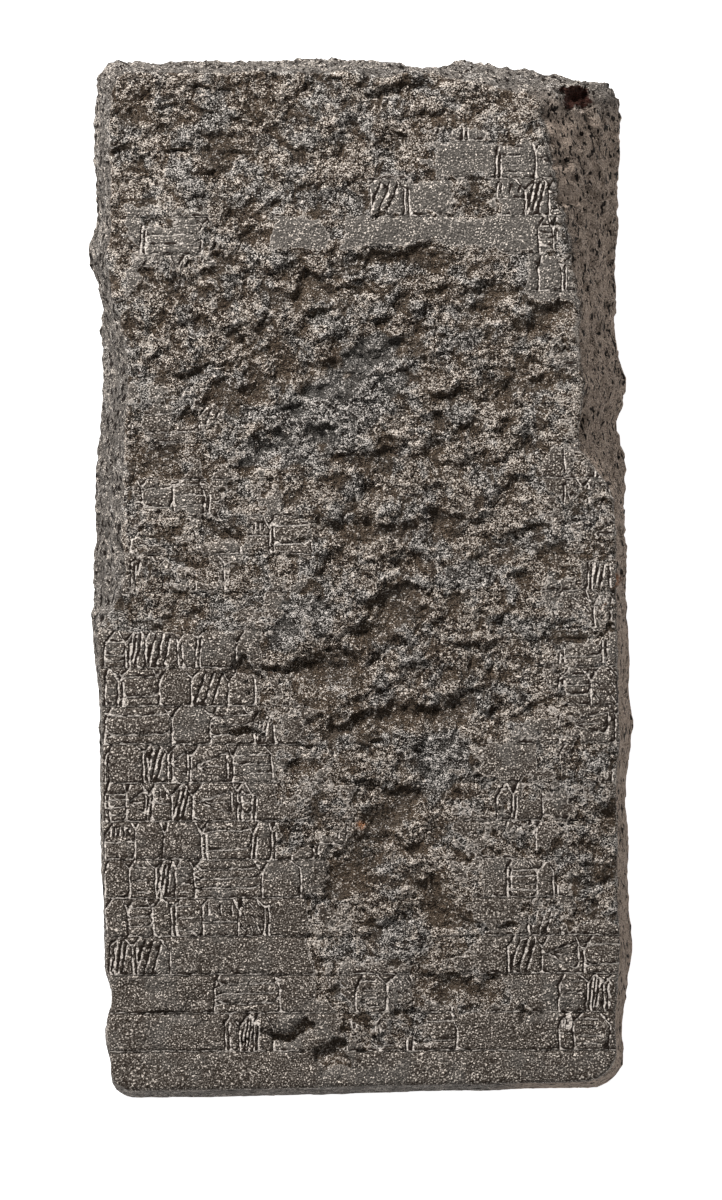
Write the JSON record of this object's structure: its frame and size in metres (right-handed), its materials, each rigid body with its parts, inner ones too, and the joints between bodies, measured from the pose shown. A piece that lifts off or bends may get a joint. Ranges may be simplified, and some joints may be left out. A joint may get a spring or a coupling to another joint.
{
  "type": "inscribed lead tablet",
  "caption": "Thick oblong slab of cast lead, ruled and inscribed on one face, with a heavily corroded surface and broken sides.",
  "frame": {"origin": "on the ground under the middle of the slab's box, the slab lying on its back", "axes": "+X to the right of the inscription, +Y towards its head, +Z out of the inscribed face"},
  "size_m": [0.382, 0.7272, 0.1189],
  "materials": {
    "corroded_lead": "dull grey-brown corroded lead with a pale crust, brown hollows and smoother grey skin"
  },
  "bodies": {
    "root": {"lead_tablet": "corroded_lead"}
  },
  "joints": []
}
